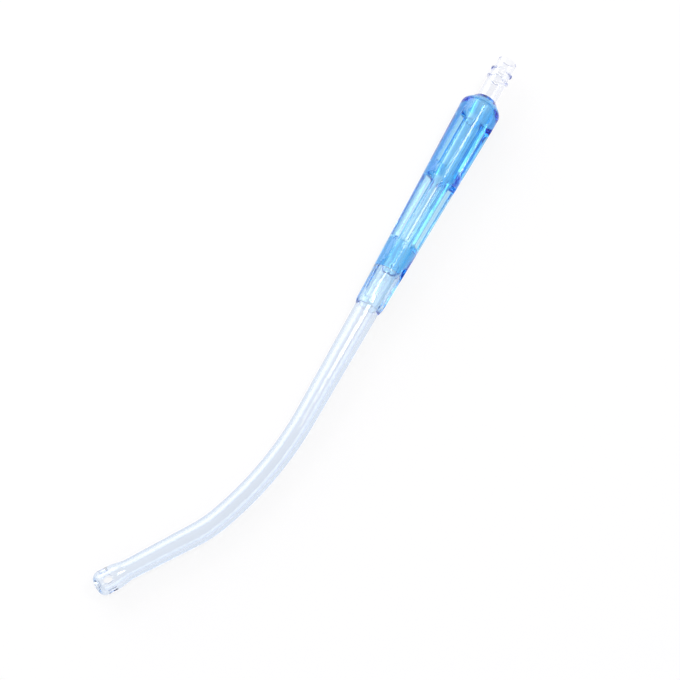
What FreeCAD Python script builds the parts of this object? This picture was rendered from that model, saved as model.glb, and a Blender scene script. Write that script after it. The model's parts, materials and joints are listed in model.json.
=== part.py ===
import FreeCAD, Part
import math
import os
from itertools import combinations
from FreeCAD import Vector

# Yankauer suction tip, lying on its side as it comes to rest. Millimetres and degrees.
# It is built along +X from the grip's lower end, with the bend in the XY plane, and laid down last.

# Suction tube: a tapered rigid tube, bent by heat, with the bulb moulded in one with it
TUBE_ROOT_R = 5.05          # outside radius where it leaves the grip
TUBE_BEND_R = 4.38          # outside radius along the bend
TUBE_NECK_R = 3.95          # outside radius just before the bulb
TUBE_WALL = 1.3
TUBE_SOCKET_DEPTH = 17.4    # length pushed into the grip
TUBE_STRAIGHT = 51.0        # from the grip to the start of the bend
GENTLE_BEND_R = 150.0
GENTLE_BEND_ANGLE = 20.6
TIGHT_BEND_R = 50.0
TIGHT_BEND_ANGLE = 12.1
TUBE_REACH = 28.4           # from the end of the bend to the bulb's flare

# Bulb: hollow, with one end hole and a ring of side eyes
BULB_R = 4.95
BULB_WALL = 1.15
BULB_FLARE = 7.6
BULB_BARREL = 4.0
BULB_NOSE_R = 3.3
BULB_NOSE_WALL = 1.5
END_HOLE_R = 1.6
EYE_COUNT = 4
EYE_TURN = 5.0              # of the first eye from the top of the bend plane
EYE_LENGTH = 3.9
EYE_WIDTH = 2.9

# Grip: one blue moulding, tapered, with pockets that leave four ribs
GRIP_LENGTH = 102.5
GRIP_LOWER_R = 5.79         # outside radius of the taper at the lower end
GRIP_UPPER_R = 8.62         # outside radius where the taper's line meets the shoulder's cone
SHOULDER_SLOPE = 45.0       # of the shoulder's cone to the axis
SHOULDER_ROUND = 4.0        # radius between the taper and the cone
FOOT_BEVEL_LENGTH = 1.4
FOOT_R = 5.35               # outside radius of the lower end face
GRIP_END_R = 4.3            # outside radius where the cone ends on the stem
BORE_LOWER_R = 2.6
BORE_UPPER_R = 3.0
BOND_GAP = 0.05             # radial room for the bond in both sockets

POCKET_COUNT = 4
POCKET_TURN = -17.5         # of the first pocket from the top of the bend plane
POCKET_CORNER_R = 1.2
LOWER_POCKET_START = 30.2
LOWER_POCKET_LENGTH = 31.8
LOWER_POCKET_ANGLE = 58.0
LOWER_CORE_R = 3.65         # outside radius of the core between the lower pockets
UPPER_POCKET_START = 66.3
UPPER_POCKET_LENGTH = 25.4
UPPER_POCKET_ANGLE = 46.0
UPPER_CORE_R = 5.4

RECESS_CENTRE = 12.0        # oval hollows in line with the pockets
RECESS_LENGTH = 19.0
RECESS_WIDTH = 6.5
RECESS_SKIN = 0.3           # wall left over the tube's socket

# Tubing connector: a plain stem with two rings
STEM_LENGTH = 31.3
STEM_SOCKET_DEPTH = 12.0
STEM_R = 4.1
STEM_BORE_R = 3.15
NOSE_R = 3.95               # outside radius past the last ring
MOUTH_CHAMFER = 0.3
RING_WIDTH = 1.6
RING_CREST = 0.5            # width of the flat crest
RING_RISE = 0.65
RING_PLACES = (5.6, 9.3)    # from the mouth to the middle of each ring

ROUND_STEPS = 4             # short cones that make up each rounded end

# How finely the resting pose is worked out
BEND_STEPS = 10
SETTLE_ROUNDS = 4
TOUCH = 1e-4

AXIS = Vector(1, 0, 0)
UP = Vector(0, 0, 1)
ORIGIN = Vector(0, 0, 0)


def taper(at, start, end, start_value, end_value):
    """Value on a straight taper."""
    return start_value + (end_value - start_value) * (at - start) / (end - start)


def lathe(outline, slope=Part.makeLine):
    """Solid turned about the X axis from (x, radius) corners, with an arc where a corner has a middle."""
    edges = []
    here = outline[-1]
    for step in outline:
        start = Vector(here[0], 0, here[1])
        end = Vector(step[0], 0, step[1])
        if len(step) > 2:
            middle = Vector(step[2], 0, step[3])
            edges.append(Part.Arc(start, middle, end).toShape())
        elif start.x != end.x and start.z != end.z:
            edges.append(slope(start, end))
        else:
            edges.append(Part.makeLine(start, end))
        here = step
    face = Part.Face(Part.Wire(edges))
    return face.revolve(ORIGIN, AXIS, 360)


def long_taper(start, end):
    """Straight edge of a long plain taper, as a spline, which turns into a surface of few facets."""
    return Part.BSplineCurve([start, end], None, None, False, 1).toShape()


def rounded(x, r, radius, turn=90):
    """Outline steps down a round about the centre (x, r), after its highest point."""
    steps = []
    for number in range(ROUND_STEPS):
        angle = math.radians(turn) * (number + 1) / ROUND_STEPS
        steps.append((x + radius * math.sin(angle), r + radius * math.cos(angle)))
    return steps


def ring_of(cutter, count, first_turn):
    """Copies of a cutter spaced evenly about the X axis."""
    copies = []
    for number in range(count):
        copy = cutter.copy()
        copy.rotate(ORIGIN, AXIS, first_turn + number * 360 / count)
        copies.append(copy)
    return copies


def shoulder_corner():
    """Place where the taper's line meets the shoulder's cone."""
    return GRIP_LENGTH - (GRIP_UPPER_R - GRIP_END_R) / math.tan(math.radians(SHOULDER_SLOPE))


def grip_radius(x):
    """Outside radius of the grip's taper."""
    return taper(x, 0, shoulder_corner(), GRIP_LOWER_R, GRIP_UPPER_R)


def shoulder_start():
    """Place and radius where the taper ends and the shoulder's round begins."""
    x = shoulder_corner() - SHOULDER_ROUND * math.tan(math.radians(SHOULDER_SLOPE) / 2)
    return x, grip_radius(x)


def grip_body():
    """Solid outside of the grip: bevelled foot, taper, and a shoulder that cones down to the stem."""
    start, start_r = shoulder_start()
    return lathe([
        (0, 0),
        (0, FOOT_R),
        (FOOT_BEVEL_LENGTH, grip_radius(FOOT_BEVEL_LENGTH)),
        (start, start_r),
        *rounded(start, start_r - SHOULDER_ROUND, SHOULDER_ROUND, SHOULDER_SLOPE),
        (GRIP_LENGTH, GRIP_END_R),
        (GRIP_LENGTH, 0),
    ])


def grip_channel():
    """Tube socket, tapered bore and stem socket in one cutter."""
    tube_socket_r = TUBE_ROOT_R + BOND_GAP
    stem_socket_r = STEM_R + BOND_GAP
    stem_seat = GRIP_LENGTH - STEM_SOCKET_DEPTH
    return lathe([
        (0, 0),
        (0, tube_socket_r),
        (TUBE_SOCKET_DEPTH, tube_socket_r),
        (TUBE_SOCKET_DEPTH, BORE_LOWER_R),
        (stem_seat, BORE_UPPER_R),
        (stem_seat, stem_socket_r),
        (GRIP_LENGTH, stem_socket_r),
        (GRIP_LENGTH, 0),
    ], long_taper)


def pocket(start, length, angle, core_r):
    """Sector-shaped cutter with rounded ends, down to the core, centred on the top of the grip."""
    end = start + length
    beyond = GRIP_UPPER_R + POCKET_CORNER_R
    corners = [
        Vector(start, 0, core_r),
        Vector(end, 0, core_r),
        Vector(end, 0, beyond),
        Vector(start, 0, beyond),
    ]
    face = Part.Face(Part.makePolygon(corners + corners[:1]))
    face.rotate(ORIGIN, AXIS, -angle / 2)
    sector = face.revolve(ORIGIN, AXIS, angle)
    upright = [edge for edge in sector.Edges if is_radial(edge)]
    return sector.makeFillet(POCKET_CORNER_R, upright)


def is_radial(edge):
    """True for a straight edge that stands square to the X axis."""
    start, end = edge.Vertexes[0].Point, edge.Vertexes[-1].Point
    straight = edge.Curve.TypeId == "Part::GeomLine"
    return straight and abs(start.x - end.x) < TOUCH


def oval_recess():
    """Oval punch that stops short of the tube's socket."""
    floor = TUBE_ROOT_R + BOND_GAP + RECESS_SKIN
    oval = Part.Ellipse(Vector(RECESS_CENTRE, 0, floor), RECESS_LENGTH / 2, RECESS_WIDTH / 2)
    face = Part.Face(Part.Wire([oval.toShape()]))
    return face.extrude(UP * GRIP_UPPER_R)


def make_grip():
    """The whole grip moulding."""
    lower = pocket(LOWER_POCKET_START, LOWER_POCKET_LENGTH, LOWER_POCKET_ANGLE, LOWER_CORE_R)
    upper = pocket(UPPER_POCKET_START, UPPER_POCKET_LENGTH, UPPER_POCKET_ANGLE, UPPER_CORE_R)
    cutters = [grip_channel()]
    for hollow in (lower, upper, oval_recess()):
        cutters += ring_of(hollow, POCKET_COUNT, POCKET_TURN)
    return grip_body().cut(cutters)


def make_connector():
    """Stem with a bore, a slimmer nose and two rings, seated in the grip's upper socket."""
    seat = GRIP_LENGTH - STEM_SOCKET_DEPTH
    mouth = seat + STEM_LENGTH
    step = mouth - min(RING_PLACES)
    stem = lathe([
        (seat, STEM_BORE_R),
        (seat, STEM_R),
        (step, STEM_R),
        (step, NOSE_R),
        (mouth - MOUTH_CHAMFER, NOSE_R),
        (mouth, NOSE_R - MOUTH_CHAMFER),
        (mouth, STEM_BORE_R),
    ])
    rings = [stem_ring(mouth - place) for place in RING_PLACES]
    return stem.fuse(rings).removeSplitter()


def stem_ring(middle):
    """One ring on the stem, with sloping sides and a narrow crest."""
    foot = RING_WIDTH / 2
    crest = RING_CREST / 2
    top = STEM_R + RING_RISE
    return lathe([
        (middle - foot, STEM_BORE_R),
        (middle - foot, STEM_R),
        (middle - crest, top),
        (middle + crest, top),
        (middle + foot, STEM_R),
        (middle + foot, STEM_BORE_R),
    ])


def bend_centre(place, heading, radius):
    """Centre of a bend that turns to the right of the heading."""
    return place + Vector(heading.y, -heading.x, 0) * radius


def turned(vector, angle):
    """Vector turned about +Z."""
    return FreeCAD.Rotation(UP, angle).multVec(vector)


def tube_bends():
    """Each bend as its start, heading, centre, radius and angle, and then the end of the last one."""
    place = Vector(-TUBE_STRAIGHT, 0, 0)
    heading = Vector(-1, 0, 0)
    bends = []
    for radius, angle in ((GENTLE_BEND_R, GENTLE_BEND_ANGLE), (TIGHT_BEND_R, TIGHT_BEND_ANGLE)):
        centre = bend_centre(place, heading, radius)
        bends.append((place, heading, centre, angle))
        place = centre + turned(place - centre, -angle)
        heading = turned(heading, -angle)
    return bends, place, heading


def tube_run(shrink):
    """Solid along the whole tube, its outside when shrink is 0 and its bore when shrink is the wall."""
    bends, place, heading = tube_bends()
    bend_r = TUBE_BEND_R - shrink
    root = lathe([
        (TUBE_SOCKET_DEPTH, 0),
        (TUBE_SOCKET_DEPTH, TUBE_ROOT_R - shrink),
        (0, TUBE_ROOT_R - shrink),
        (-TUBE_STRAIGHT, bend_r),
        (-TUBE_STRAIGHT, 0),
    ], long_taper)
    pieces = [root]
    for start, direction, centre, angle in bends:
        disc = Part.Face(Part.Wire([Part.makeCircle(bend_r, start, direction)]))
        pieces.append(disc.revolve(centre, UP, -angle))
    if shrink:
        end = lathe(tip_cavity(bend_r), long_taper)
    else:
        end = lathe(tip_outline(bend_r), long_taper)
    end.Placement = FreeCAD.Placement(place, FreeCAD.Rotation(AXIS, heading))
    pieces.append(end)
    return pieces[0].fuse(pieces[1:]).removeSplitter()


def tip_outline(bend_r):
    """Outside of the last straight run and the bulb, from the end of the bend."""
    barrel = TUBE_REACH + BULB_FLARE
    nose = barrel + BULB_BARREL
    return [
        (0, 0),
        (0, bend_r),
        (TUBE_REACH, TUBE_NECK_R),
        *flare(TUBE_REACH, TUBE_NECK_R, barrel, BULB_R),
        (nose, BULB_R),
        *rounded(nose, BULB_R - BULB_NOSE_R, BULB_NOSE_R),
        (nose + BULB_NOSE_R, 0),
    ]


def tip_cavity(bend_r):
    """Inside of the last straight run and the bulb, up to its end wall."""
    barrel = TUBE_REACH + BULB_FLARE
    nose = barrel + BULB_BARREL
    neck_r = TUBE_NECK_R - TUBE_WALL
    cavity_r = BULB_R - BULB_WALL
    depth = BULB_NOSE_R - BULB_NOSE_WALL
    return [
        (0, 0),
        (0, bend_r),
        (TUBE_REACH, neck_r),
        *flare(TUBE_REACH, neck_r, barrel, cavity_r),
        (nose, cavity_r),
        (nose + depth, cavity_r - depth),
        (nose + depth, 0),
    ]


def flare(start, start_r, end, end_r):
    """Two equal arcs that open smoothly from one radius to another, as two outline steps."""
    length, rise = end - start, end_r - start_r
    radius = (length ** 2 + rise ** 2) / (4 * rise)
    half_turn = math.asin(length / 2 / radius) / 2
    along = radius * math.sin(half_turn)
    up = radius * (1 - math.cos(half_turn))
    middle = ((start + end) / 2, (start_r + end_r) / 2)
    return [middle + (start + along, start_r + up), (end, end_r) + (end - along, end_r - up)]


def eye_cutter():
    """Oval punch through one wall of the bulb, in the frame of the last straight run."""
    middle = TUBE_REACH + BULB_FLARE + BULB_BARREL / 2
    oval = Part.Ellipse(Vector(middle, 0, 0), EYE_LENGTH / 2, EYE_WIDTH / 2)
    return Part.Face(Part.Wire([oval.toShape()])).extrude(UP * 2 * BULB_R)


def tip_holes():
    """End hole and side eyes, in place on the bent tube."""
    bends, place, heading = tube_bends()
    nose = TUBE_REACH + BULB_FLARE + BULB_BARREL
    hole = Part.makeCylinder(END_HOLE_R, 2 * BULB_NOSE_R, Vector(nose, 0, 0), AXIS)
    holes = ring_of(eye_cutter(), EYE_COUNT, EYE_TURN) + [hole]
    for cutter in holes:
        cutter.Placement = FreeCAD.Placement(place, FreeCAD.Rotation(AXIS, heading)) * cutter.Placement
    return holes


def make_tube():
    """The bent tube with its bulb."""
    return tube_run(0).cut([tube_run(TUBE_WALL)] + tip_holes())


def contact_discs():
    """Widest cross-sections that may touch a surface, as centre, axis and radius."""
    foot_r = grip_radius(FOOT_BEVEL_LENGTH)
    shoulder, shoulder_r = shoulder_start()
    discs = [(AXIS * shoulder, AXIS, shoulder_r), (AXIS * FOOT_BEVEL_LENGTH, AXIS, foot_r)]
    bends, place, heading = tube_bends()
    for start, direction, centre, angle in bends:
        for step in range(BEND_STEPS):
            turn = -angle * step / BEND_STEPS
            spot = centre + turned(start - centre, turn)
            discs.append((spot, turned(direction, turn), TUBE_BEND_R))
    barrel = TUBE_REACH + BULB_FLARE
    for along in (barrel, barrel + BULB_BARREL):
        discs.append((place + heading * along, heading, BULB_R))
    return discs


def lowest_point(disc, up):
    """Point of a disc that is nearest to a surface below it."""
    centre, axis, radius = disc
    across = up - axis * up.dot(axis)
    return centre - across.normalize() * radius


def holds(point, corners, up):
    """True where a point stands over the triangle of three corners."""
    signs = []
    for number in range(3):
        start, end = corners[number], corners[(number + 1) % 3]
        signs.append(up.dot((end - start).cross(point - start)) > 0)
    return all(signs) or not any(signs)


def resting_plane(middle):
    """Normal and one contact of the surface that the part comes to rest on, by its centre of mass."""
    up = UP
    for round_number in range(SETTLE_ROUNDS):
        points = [lowest_point(disc, up) for disc in contact_discs()]
        for corners in combinations(points, 3):
            normal = (corners[1] - corners[0]).cross(corners[2] - corners[0])
            if normal.Length < TOUCH:
                continue
            normal = normal.normalize() * math.copysign(1, normal.z)
            clear = min((point - corners[0]).dot(normal) for point in points) > -TOUCH
            if clear and holds(middle, corners, normal):
                up = normal
                contact = corners[0]
                break
    return up, contact


def lying_placement(shapes):
    """Turn and shift that lay the part on Z = 0 with its box centred on the origin."""
    volume = sum(shape.Volume for shape in shapes)
    middle = sum((shape.Solids[0].CenterOfMass * shape.Volume for shape in shapes), ORIGIN) / volume
    up, contact = resting_plane(middle)
    turn = FreeCAD.Placement(ORIGIN, FreeCAD.Rotation(up, UP))
    box = Part.makeCompound([shape.transformed(turn.toMatrix()) for shape in shapes]).optimalBoundingBox()
    floor = turn.multVec(contact).z
    shift = Vector(-box.Center.x, -box.Center.y, -floor)
    return FreeCAD.Placement(shift, FreeCAD.Rotation(up, UP))


nodes = {
    "suction_tube": make_tube(),
    "grip_handle": make_grip(),
    "tubing_connector": make_connector(),
}
lying = lying_placement(list(nodes.values()))
os.makedirs("parts", exist_ok=True)
for name, shape in nodes.items():
    shape.transformed(lying.toMatrix()).exportStep("parts/" + name + ".step")
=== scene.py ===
import json
import math

import bmesh
import bpy
from mathutils import Matrix, Vector


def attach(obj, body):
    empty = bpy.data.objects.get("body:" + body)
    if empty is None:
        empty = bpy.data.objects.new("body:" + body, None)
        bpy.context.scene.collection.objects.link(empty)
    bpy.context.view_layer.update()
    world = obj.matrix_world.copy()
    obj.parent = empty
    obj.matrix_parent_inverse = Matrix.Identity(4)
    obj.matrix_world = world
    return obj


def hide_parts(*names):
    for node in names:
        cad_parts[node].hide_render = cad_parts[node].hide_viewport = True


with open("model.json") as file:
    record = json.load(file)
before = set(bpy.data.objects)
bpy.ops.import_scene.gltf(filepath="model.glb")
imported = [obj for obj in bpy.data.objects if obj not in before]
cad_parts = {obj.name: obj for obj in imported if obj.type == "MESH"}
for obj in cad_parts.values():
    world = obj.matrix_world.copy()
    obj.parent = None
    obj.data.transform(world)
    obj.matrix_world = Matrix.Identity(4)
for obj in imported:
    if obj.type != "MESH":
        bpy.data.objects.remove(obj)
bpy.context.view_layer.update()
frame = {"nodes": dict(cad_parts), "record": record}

# How the part lies: on its side, as it comes to rest. Its pieces are made in millimetres along the
# grip, from the grip's lower end at the origin towards the mouth on +X, with the tube's bend in the
# XY plane. The stem's nose and the tube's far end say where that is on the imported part.
MM = 0.001
NOSE_MIDDLE = 119.25        # from the grip's lower end to the middle of the stem's nose
END_BAND = 1.0              # how much of the bulb's far end is taken to find the bend's side

nose = frame["record"]["mounts"][0]
forward = Vector(nose["axis"]).normalized()
grip_foot = Vector(nose["pos_m"]) - forward * NOSE_MIDDLE * MM
tube_points = [vertex.co - grip_foot for vertex in frame["nodes"]["suction_tube"].data.vertices]
reach = min(point.dot(forward) for point in tube_points)
end_points = [point for point in tube_points if point.dot(forward) < reach + END_BAND * MM]
sideways = sum(end_points, Vector()) / len(end_points)
sideways = (sideways - forward * sideways.dot(forward)).normalized()
turn = Matrix((forward, sideways, forward.cross(sideways))).transposed().to_4x4()
lie = Matrix.Translation(grip_foot) @ turn @ Matrix.Scale(MM, 4)


# Suction tube: rigid clear plastic with a faint blue cast. It is moulded straight, with a tapered bore
# and with the bulb in one with it, and then bent by heat. The bulb has a hole in its end and four
# oval eyes round its side. Its plain end is bonded into the grip.
TUBE_ROOT_R = 5.05
TUBE_BEND_R = 4.38
TUBE_NECK_R = 3.95
TUBE_WALL = 1.3
TUBE_SOCKET_DEPTH = 17.4
TUBE_STRAIGHT = 51.0
TUBE_REACH = 28.4
BENDS = ((150.0, math.radians(20.6)), (50.0, math.radians(12.1)))
BULB_R = 4.95
BULB_WALL = 1.15
BULB_FLARE = 7.6
BULB_BARREL = 4.0
BULB_NOSE_R = 3.3
BULB_NOSE_WALL = 1.5
END_HOLE_R = 1.6
EYE_COUNT = 4
EYE_TURN = 5.0
EYE_LENGTH = 3.9
EYE_WIDTH = 2.9
EDGE_ROUND = 0.12           # on the corners of an outline
EDGE_STEPS = 3
LONGEST_STEP = 1.6          # of the mesh along the tube
TURN_STEPS = 160
CURVE_STEPS = 12
OVAL_STEPS = 48
SHARP = math.radians(25)
SEAM_GAP = 0.0001           # points nearer than this become one where a turned mesh closes
CUT_GAP = 0.002             # the same after a cut
WHITE = (1, 1, 1, 1)
PLASTIC_IOR = 1.5
GRAIN_DETAIL = 3.0          # how many finer layers the moulding marks have
TUBE_TINT = (0.06, 0.4, 0.82)
TUBE_TINT_DENSITY = 90.0    # per metre
TUBE_ROUGHNESS = 0.02
TUBE_GRAIN = (60.0, 60.0, 60.0)
TUBE_RELIEF = 0.00003       # in metres


def arc(centre, radius, start, end):
    """Points of an arc in the (place, radius) plane, by angles from the X axis in degrees."""
    steps = range(CURVE_STEPS + 1)
    angles = [math.radians(start + (end - start) * step / CURVE_STEPS) for step in steps]
    return [(centre[0] + radius * math.cos(a), centre[1] + radius * math.sin(a)) for a in angles]


def swell(start, start_r, end, end_r):
    """Points that pass smoothly from one radius to another."""
    shares = [step / CURVE_STEPS for step in range(CURVE_STEPS + 1)]
    eased = [(1 - math.cos(math.pi * share)) / 2 for share in shares]
    return [(start + (end - start) * a, start_r + (end_r - start_r) * b) for a, b in zip(shares, eased)]


def turned(outline, edge_round, steps=TURN_STEPS, longest=None):
    """Mesh of a closed outline of (place, radius) points, turned about the X axis."""
    bm = bmesh.new()
    points = [bm.verts.new((place, 0, radius)) for place, radius in outline]
    for pair in zip(points, points[1:] + points[:1]):
        bm.edges.new(pair)
    corners = [point for point in bm.verts if point.calc_edge_angle() > SHARP]
    bmesh.ops.bevel(bm, geom=corners, offset=edge_round, offset_type="OFFSET", segments=EDGE_STEPS,
                    profile=0.5, affect="VERTICES", clamp_overlap=True, material=-1)
    if longest:
        for edge in [edge for edge in bm.edges if edge.calc_length() > longest]:
            cuts = int(edge.calc_length() / longest)
            bmesh.ops.subdivide_edges(bm, edges=[edge], cuts=cuts)
    bmesh.ops.spin(bm, geom=bm.verts[:] + bm.edges[:], cent=(0, 0, 0), axis=(1, 0, 0),
                   angle=math.tau, steps=steps, use_merge=True)
    bmesh.ops.remove_doubles(bm, verts=bm.verts, dist=SEAM_GAP)
    bmesh.ops.recalc_face_normals(bm, faces=bm.faces)
    return bm


def shown(bm, name):
    """Object made of a mesh, which is used up."""
    mesh = bpy.data.meshes.new(name)
    bm.to_mesh(mesh)
    bm.free()
    piece = bpy.data.objects.new(name, mesh)
    bpy.context.collection.objects.link(piece)
    return piece


def carved(bm, cutter):
    """The mesh with the cutter's room taken out of it."""
    body = shown(bm, "body")
    tool = shown(cutter, "tool")
    carve = body.modifiers.new("carve", "BOOLEAN")
    carve.object = tool
    carve.operation = "DIFFERENCE"
    carve.solver = "EXACT"
    result = bmesh.new()
    result.from_object(body, bpy.context.evaluated_depsgraph_get())
    for scrap in (body, tool):
        mesh = scrap.data
        bpy.data.objects.remove(scrap)
        bpy.data.meshes.remove(mesh)
    bmesh.ops.remove_doubles(result, verts=result.verts, dist=CUT_GAP)
    return result


def add_to(bm, other):
    """Adds a second mesh, which is used up, to the first."""
    mesh = bpy.data.meshes.new("added")
    other.to_mesh(mesh)
    other.free()
    bm.from_mesh(mesh)
    bpy.data.meshes.remove(mesh)


def round_the_axis(bm, count, first_turn):
    """Copies of the mesh, evenly spaced about the X axis, instead of the one."""
    step = Matrix.Rotation(math.radians(first_turn), 3, "X")
    bmesh.ops.rotate(bm, verts=bm.verts, cent=(0, 0, 0), matrix=step)
    first = bm.verts[:] + bm.edges[:] + bm.faces[:]
    for number in range(1, count):
        step = Matrix.Rotation(math.tau * number / count, 3, "X")
        copy = bmesh.ops.duplicate(bm, geom=first)["geom"]
        verts = [part for part in copy if isinstance(part, bmesh.types.BMVert)]
        bmesh.ops.rotate(bm, verts=verts, cent=(0, 0, 0), matrix=step)


def oval_punch(place, low, high, length, width):
    """Upright oval cutter over one place on the axis."""
    bm = bmesh.new()
    bmesh.ops.create_circle(bm, cap_ends=True, segments=OVAL_STEPS, radius=0.5)
    bmesh.ops.scale(bm, vec=(length, width, 1), verts=bm.verts)
    bmesh.ops.translate(bm, vec=(place, 0, low), verts=bm.verts)
    raised = bmesh.ops.extrude_face_region(bm, geom=bm.faces[:], use_keep_orig=True)["geom"]
    verts = [part for part in raised if isinstance(part, bmesh.types.BMVert)]
    bmesh.ops.translate(bm, vec=(0, 0, high - low), verts=verts)
    bmesh.ops.recalc_face_normals(bm, faces=bm.faces)
    return bm


def bent(spot):
    """Where a spot of the straight tube is once the tube is bent."""
    past = -spot.x - TUBE_STRAIGHT
    place = spot.copy()
    starts = (0, BENDS[0][0] * BENDS[0][1])
    for start, (radius, angle) in reversed(list(zip(starts, BENDS))):
        along = min(max(past - start, 0), radius * angle)
        centre = Vector((-TUBE_STRAIGHT - start, radius, 0))
        turned_place = place + Vector((along, 0, 0)) - centre
        place = centre + Matrix.Rotation(-along / radius, 3, "Z") @ turned_place
    return place


class Look:
    """The nodes of a material or a world, each added by one method."""

    def __init__(self, holder):
        self.holder = holder
        self.holder.use_nodes = True
        self.tree = self.holder.node_tree
        self.tree.nodes.clear()

    def node(self, kind, settings, sockets):
        """Adds a node with its settings, and gives its sockets their values or links."""
        made = self.tree.nodes.new("ShaderNode" + kind)
        for name, value in settings.items():
            setattr(made, name, value)
        for name, value in sockets.items():
            if isinstance(value, bpy.types.NodeSocket):
                self.tree.links.new(value, made.inputs[name])
            else:
                made.inputs[name].default_value = value
        return made.outputs


class Amount:
    """A number, colour or vector from a node's socket. Python's operators on it add Math nodes, and |
    takes the larger of two."""

    def __init__(self, look, socket):
        self.look = look
        self.socket = socket

    def maths(self, operation, first, second):
        """Adds a node for one operation on two amounts, numbers or vectors."""
        values = [value.socket if isinstance(value, Amount) else value for value in (first, second)]
        sockets = [value for value in values if isinstance(value, bpy.types.NodeSocket)]
        if any(socket.type in ("VECTOR", "RGBA") for socket in sockets):
            made = self.look.node("VectorMath", {"operation": operation}, dict(enumerate(values)))
            return Amount(self.look, made["Vector"])
        made = self.look.node("Math", {"operation": operation}, dict(enumerate(values)))
        return Amount(self.look, made["Value"])

    def __add__(self, other):
        return self.maths("ADD", self, other)

    def __radd__(self, other):
        return self.maths("ADD", other, self)

    def __mul__(self, other):
        return self.maths("MULTIPLY", self, other)

    def __rmul__(self, other):
        return self.maths("MULTIPLY", other, self)

    def __or__(self, other):
        return self.maths("MAXIMUM", self, other)

    def __ror__(self, other):
        return self.maths("MAXIMUM", other, self)


def clear_plastic(name, tint, density, roughness, grain, relief):
    """See-through plastic that colours light by how far it passes through it. The grain says how many
    moulding marks there are to a metre each way, and the relief how deep they are. They also vary the
    gloss about the roughness, because the noise that they come from averages a half."""
    look = Look(bpy.data.materials.new(name))
    spot = Amount(look, look.node("TexCoord", {}, {})["Object"]) * grain
    marks = look.node("TexNoise", {}, {"Vector": spot.socket, "Scale": 1.0, "Detail": GRAIN_DETAIL})
    surface_marks = look.node("Bump", {}, {"Height": marks["Fac"], "Distance": relief, "Strength": 1.0})
    dull = Amount(look, marks["Fac"]) * (2 * roughness)
    surface = look.node("BsdfPrincipled", {}, {
        "Base Color": WHITE,
        "Roughness": dull.socket,
        "Normal": surface_marks["Normal"],
        "IOR": PLASTIC_IOR,
        "Transmission Weight": 1.0,
    })
    inside = look.node("VolumeAbsorption", {}, {"Color": (*tint, 1), "Density": density})
    look.node("OutputMaterial", {}, {"Surface": surface["BSDF"], "Volume": inside["Volume"]})
    return look.holder


def lay(bm, name, node, material):
    """Puts a finished piece in its place on the part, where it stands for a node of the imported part."""
    bmesh.ops.transform(bm, matrix=lie, verts=bm.verts)
    for face in bm.faces:
        face.smooth = True
    piece = shown(bm, name)
    piece.data.materials.append(material)
    weigh = piece.modifiers.new("even_normals", "WEIGHTED_NORMAL")
    weigh.keep_sharp = True
    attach(piece, "root")
    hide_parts(node)


bend_length = sum(radius * angle for radius, angle in BENDS)
flare_place = -(TUBE_STRAIGHT + bend_length + TUBE_REACH)
barrel_place = flare_place - BULB_FLARE
nose_place = barrel_place - BULB_BARREL
cavity_r = BULB_R - BULB_WALL
cavity_nose_r = BULB_NOSE_R - BULB_NOSE_WALL
tube_outline = [
    (TUBE_SOCKET_DEPTH, TUBE_ROOT_R),
    (0, TUBE_ROOT_R),
    (-TUBE_STRAIGHT, TUBE_BEND_R),
    (-TUBE_STRAIGHT - bend_length, TUBE_BEND_R),
    *swell(flare_place, TUBE_NECK_R, barrel_place, BULB_R),
    *arc((nose_place, BULB_R - BULB_NOSE_R), BULB_NOSE_R, 90, 180),
    (nose_place - BULB_NOSE_R, END_HOLE_R),
    (nose_place - cavity_nose_r, END_HOLE_R),
    *arc((nose_place, cavity_r - cavity_nose_r), cavity_nose_r, 180, 90),
    *swell(barrel_place, cavity_r, flare_place, TUBE_NECK_R - TUBE_WALL),
    (-TUBE_STRAIGHT - bend_length, TUBE_BEND_R - TUBE_WALL),
    (-TUBE_STRAIGHT, TUBE_BEND_R - TUBE_WALL),
    (0, TUBE_ROOT_R - TUBE_WALL),
    (TUBE_SOCKET_DEPTH, TUBE_ROOT_R - TUBE_WALL),
]
tube = turned(tube_outline, EDGE_ROUND, longest=LONGEST_STEP)
eyes = oval_punch(nose_place + BULB_BARREL / 2, cavity_r / 2, 2 * BULB_R, EYE_LENGTH, EYE_WIDTH)
round_the_axis(eyes, EYE_COUNT, EYE_TURN)
tube = carved(tube, eyes)
for vertex in tube.verts:
    vertex.co = bent(vertex.co)
tube_plastic = clear_plastic("clear_tube_plastic", TUBE_TINT, TUBE_TINT_DENSITY, TUBE_ROUGHNESS,
                             TUBE_GRAIN, TUBE_RELIEF)
lay(tube, "bent_tube", "suction_tube", tube_plastic)


# Grip: one see-through blue moulding on the tube's end. Two rows of four pockets leave four long ribs,
# a cross rib and an end block, oval flats ring its lower end, and its shoulder cones down to the stem.
# The tube and the stem are bonded into its sockets, so that hardly a line shows between them.
GRIP_LENGTH = 102.5
GRIP_LOWER_R = 5.79
GRIP_UPPER_R = 8.62
SHOULDER_SLOPE = 45.0
SHOULDER_ROUND = 4.0
GRIP_END_R = 4.3
FOOT_BEVEL_LENGTH = 1.4
FOOT_R = 5.35
BORE_LOWER_R = 2.6
BORE_UPPER_R = 3.0
BOND_LAP = 0.02             # how far the bonded pieces reach into each other
POCKET_COUNT = 4
POCKET_TURN = -17.5
POCKET_CORNER_R = 1.2
POCKET_CORNER_STEPS = 8
POCKET_SLICES = 24
POCKETS = (                 # start, end, angle in degrees and floor's radius of each row
    (30.2, 62.0, 58.0, 3.65),
    (66.3, 91.7, 46.0, 5.4),
)
RECESS_CENTRE = 12.0
RECESS_LENGTH = 19.0
RECESS_WIDTH = 6.5
RECESS_FLOOR = 5.4
STEM_R = 4.1
STEM_SOCKET_DEPTH = 12.0
GRIP_TURN_STEPS = 144
GRIP_TINT = (0.0, 0.65, 0.945)
GRIP_TINT_DENSITY = 205.0
GRIP_ROUGHNESS = 0.03
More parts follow.
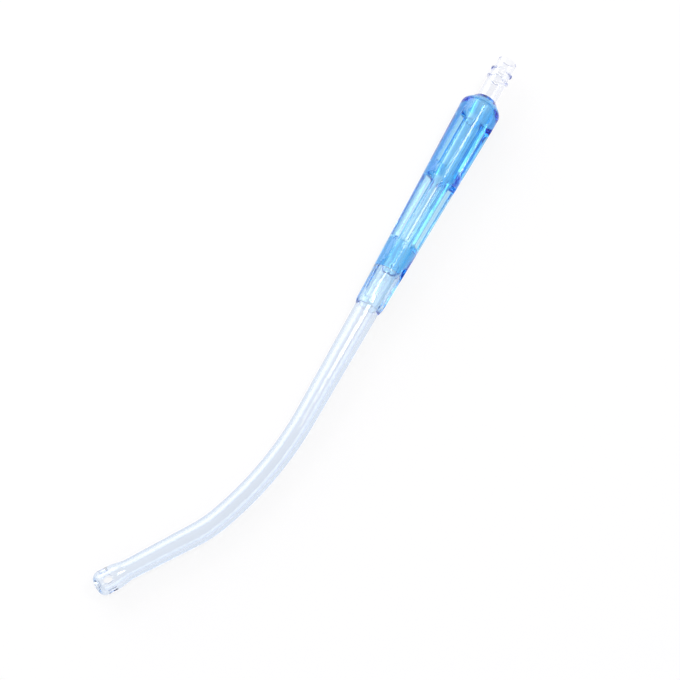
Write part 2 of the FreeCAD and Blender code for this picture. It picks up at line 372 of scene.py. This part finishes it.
GRIP_GRAIN = (25.0, 1200.0, 1200.0)     # fine lines along the grip
GRIP_RELIEF = 0.00004


def between(at, start, end, start_value, end_value):
    """Value on a straight slope."""
    return start_value + (end_value - start_value) * (at - start) / (end - start)


def grip_radius(place):
    """Outside radius of the grip's taper."""
    return between(place, 0, shoulder_corner, GRIP_LOWER_R, GRIP_UPPER_R)


def pocket_cutter(start, end, wide, floor_r):
    """Block with round corners, wrapped about the axis over its floor."""
    middle_r = (floor_r + grip_radius(end)) / 2
    width = math.radians(wide) * middle_r
    bm = bmesh.new()
    bmesh.ops.create_cube(bm, size=1)
    bmesh.ops.scale(bm, vec=(end - start, width, 1), verts=bm.verts)
    uprights = [edge for edge in bm.edges if edge.verts[0].co.z != edge.verts[1].co.z]
    bmesh.ops.bevel(bm, geom=uprights, offset=POCKET_CORNER_R, offset_type="OFFSET",
                    segments=POCKET_CORNER_STEPS, profile=0.5, affect="EDGES", material=-1)
    for number in range(1, POCKET_SLICES):
        cut = -width / 2 + width * number / POCKET_SLICES
        bmesh.ops.bisect_plane(bm, geom=bm.verts[:] + bm.edges[:] + bm.faces[:], plane_co=(0, cut, 0),
                               plane_no=(0, 1, 0))
    for vertex in bm.verts:
        place = vertex.co.x + (start + end) / 2
        angle = vertex.co.y / middle_r
        radius = floor_r if vertex.co.z < 0 else GRIP_UPPER_R + POCKET_CORNER_R
        vertex.co = (place, -radius * math.sin(angle), radius * math.cos(angle))
    bm.normal_update()
    bmesh.ops.recalc_face_normals(bm, faces=bm.faces)
    return bm


shoulder_corner = GRIP_LENGTH - (GRIP_UPPER_R - GRIP_END_R) / math.tan(math.radians(SHOULDER_SLOPE))
shoulder_start = shoulder_corner - SHOULDER_ROUND * math.tan(math.radians(SHOULDER_SLOPE) / 2)
round_middle = (shoulder_start, grip_radius(shoulder_start) - SHOULDER_ROUND)
stem_seat = GRIP_LENGTH - STEM_SOCKET_DEPTH
grip_outline = [
    (0, TUBE_ROOT_R - BOND_LAP),
    (0, FOOT_R),
    (FOOT_BEVEL_LENGTH, grip_radius(FOOT_BEVEL_LENGTH)),
    *arc(round_middle, SHOULDER_ROUND, 90, 90 - SHOULDER_SLOPE),
    (GRIP_LENGTH, GRIP_END_R),
    (GRIP_LENGTH, STEM_R - BOND_LAP),
    (stem_seat + BOND_LAP, STEM_R - BOND_LAP),
    (stem_seat + BOND_LAP, BORE_UPPER_R),
    (TUBE_SOCKET_DEPTH - BOND_LAP, BORE_LOWER_R),
    (TUBE_SOCKET_DEPTH - BOND_LAP, TUBE_ROOT_R - BOND_LAP),
]
grip = turned(grip_outline, EDGE_ROUND / 2, steps=GRIP_TURN_STEPS)
hollows = oval_punch(RECESS_CENTRE, RECESS_FLOOR, GRIP_UPPER_R, RECESS_LENGTH, RECESS_WIDTH)
for start, end, wide, floor_r in POCKETS:
    add_to(hollows, pocket_cutter(start, end, wide, floor_r))
round_the_axis(hollows, POCKET_COUNT, POCKET_TURN)
grip = carved(grip, hollows)
grip_plastic = clear_plastic("blue_grip_plastic", GRIP_TINT, GRIP_TINT_DENSITY, GRIP_ROUGHNESS,
                             GRIP_GRAIN, GRIP_RELIEF)
lay(grip, "ribbed_grip", "grip_handle", grip_plastic)


# Tubing connector: a clear stem bonded into the grip's top, with two low rings that hold the suction
# tubing. Past them it is a little slimmer, and its mouth is open.
STEM_LENGTH = 31.3
STEM_BORE_R = 3.15
NOSE_R = 3.95
MOUTH_CHAMFER = 0.3
RING_WIDTH = 1.6
RING_CREST = 0.5
RING_RISE = 0.65
RING_PLACES = (9.3, 5.6)
STEM_TINT = (0.55, 0.62, 0.9)
STEM_TINT_DENSITY = 70.0
STEM_ROUGHNESS = 0.02
STEM_GRAIN = (150.0, 150.0, 150.0)
STEM_RELIEF = 0.00002


def ring_outline(middle):
    """Outline of one ring on the stem."""
    foot, crest, top = RING_WIDTH / 2, RING_CREST / 2, STEM_R + RING_RISE
    return [
        (middle - foot, STEM_R),
        (middle - crest, top),
        (middle + crest, top),
        (middle + foot, STEM_R),
    ]


mouth = stem_seat + STEM_LENGTH
stem_outline = [
    (stem_seat, STEM_BORE_R),
    (stem_seat, STEM_R),
    *ring_outline(mouth - RING_PLACES[0]),
    *ring_outline(mouth - RING_PLACES[1]),
    (mouth - RING_PLACES[1] + RING_WIDTH / 2, NOSE_R),
    (mouth - MOUTH_CHAMFER, NOSE_R),
    (mouth, NOSE_R - MOUTH_CHAMFER),
    (mouth, STEM_BORE_R),
]
stem = turned(stem_outline, EDGE_ROUND)
stem_plastic = clear_plastic("clear_stem_plastic", STEM_TINT, STEM_TINT_DENSITY, STEM_ROUGHNESS,
                             STEM_GRAIN, STEM_RELIEF)
lay(stem, "ringed_stem", "tubing_connector", stem_plastic)


# Table: a plain white top that the part lies on. It looks white to the eye and through the plastic,
# and still takes the part's soft shadow.
TABLE_SIZE = 6.0
TABLE_COLOUR = (0.9, 0.86, 0.85, 1)
TABLE_WHITE_SEEN = 0.86     # share of plain white in what is seen of it
TABLE_WHITE_THROUGH = 0.85  # the same through the plastic and in its gloss
SHARE, FIRST, SECOND = 0, 1, 2      # sockets of a Mix Shader node

top = bmesh.new()
bmesh.ops.create_grid(top, x_segments=1, y_segments=1, size=TABLE_SIZE / 2)
table = shown(top, "table")
table_look = Look(bpy.data.materials.new("white_table"))
rays = table_look.node("LightPath", {}, {})
looked_at, mirrored, through = [Amount(table_look, rays["Is %s Ray" % kind])
                                for kind in ("Camera", "Glossy", "Transmission")]
white_share = looked_at * TABLE_WHITE_SEEN + (mirrored | through) * TABLE_WHITE_THROUGH
matt = table_look.node("BsdfDiffuse", {}, {"Color": TABLE_COLOUR})
white = table_look.node("Emission", {}, {"Color": WHITE, "Strength": 1.0})
both = table_look.node("MixShader", {}, {
    SHARE: white_share.socket,
    FIRST: matt["BSDF"],
    SECOND: white["Emission"],
})
table_look.node("OutputMaterial", {}, {"Surface": both["Shader"]})
table.data.materials.append(table_look.holder)


# Light: a studio that is white overhead and dark near the floor, which draws the plastic's dark edges,
# with a large soft box to the part's left and a small one overhead. The eye sees it all white.
STUDIO_TOP = (0.95, 0.97, 1.0, 1)
STUDIO_SIDES = (0.02, 0.2, 0.6, 1)
STUDIO_FADE = (0.05, 0.65)  # heights of a direction between which the sides turn into the top
STUDIO_STRENGTH = 0.8
SOFT_BOXES = (              # place, width and height in metres, and power in watts
    ("box_left", (0.37, 1.07, 0.53), 1.6, 1.1, 17.0),
    ("box_over", (0.36, -0.38, 1.15), 0.26, 0.26, 3.4),
)
LIGHT_BOUNCES = 36          # light runs a long way inside clear plastic
COLOUR_A, COLOUR_B, COLOUR_MADE = 6, 7, 2       # sockets of a Mix node that mixes colours

world_look = Look(bpy.data.worlds.new("studio"))
direction = world_look.node("TexCoord", {}, {})
parts = world_look.node("SeparateXYZ", {}, {"Vector": direction["Generated"]})
rise = world_look.node("MapRange", {"interpolation_type": "SMOOTHSTEP"}, {
    "Value": parts["Z"],
    "From Min": STUDIO_FADE[0],
    "From Max": STUDIO_FADE[1],
})
tone = world_look.node("Mix", {"data_type": "RGBA"}, {
    "Factor": rise["Result"],
    COLOUR_A: STUDIO_SIDES,
    COLOUR_B: STUDIO_TOP,
})
studio = world_look.node("Background", {}, {"Color": tone[COLOUR_MADE], "Strength": STUDIO_STRENGTH})
plain = world_look.node("Background", {}, {"Color": WHITE, "Strength": 1.0})
rays = world_look.node("LightPath", {}, {})
both = world_look.node("MixShader", {}, {
    SHARE: rays["Is Camera Ray"],
    FIRST: studio["Background"],
    SECOND: plain["Background"],
})
world_look.node("OutputWorld", {}, {"Surface": both["Shader"]})
bpy.context.scene.world = world_look.holder
for name, place, width, height, power in SOFT_BOXES:
    light = bpy.data.lights.new(name, "AREA")
    light.shape = "RECTANGLE"
    light.size = width
    light.size_y = height
    light.energy = power
    lamp = bpy.data.objects.new(name, light)
    lamp.location = place
    lamp.rotation_euler = (-Vector(place)).to_track_quat("-Z", "Y").to_euler()
    bpy.context.collection.objects.link(lamp)
cycles = bpy.context.scene.cycles
cycles.max_bounces = LIGHT_BOUNCES
cycles.transmission_bounces = LIGHT_BOUNCES
cycles.glossy_bounces = LIGHT_BOUNCES


# Camera: it looks down on the part, which runs across the picture from its lower left to its upper
# right. The aim is the spot on the table at the picture's middle.
SHOT_AZIMUTH = math.radians(-61.45)
SHOT_ELEVATION = math.radians(71)
SHOT_DISTANCE = 0.92
SHOT_FIELD = math.radians(16.82)
SHOT_AIM = Vector((-0.75, -11.8, 0.0)) * MM

lens = bpy.data.cameras.new("camera")
lens.lens_unit = "FOV"
lens.angle = SHOT_FIELD
camera = bpy.data.objects.new("camera", lens)
back = Vector((
    math.sin(SHOT_AZIMUTH) * math.cos(SHOT_ELEVATION),
    -math.cos(SHOT_AZIMUTH) * math.cos(SHOT_ELEVATION),
    math.sin(SHOT_ELEVATION),
))
camera.location = SHOT_AIM + back * SHOT_DISTANCE
camera.rotation_euler = back.to_track_quat("Z", "Y").to_euler()
bpy.context.collection.objects.link(camera)
bpy.context.scene.camera = camera
bpy.context.scene.view_settings.view_transform = "Standard"
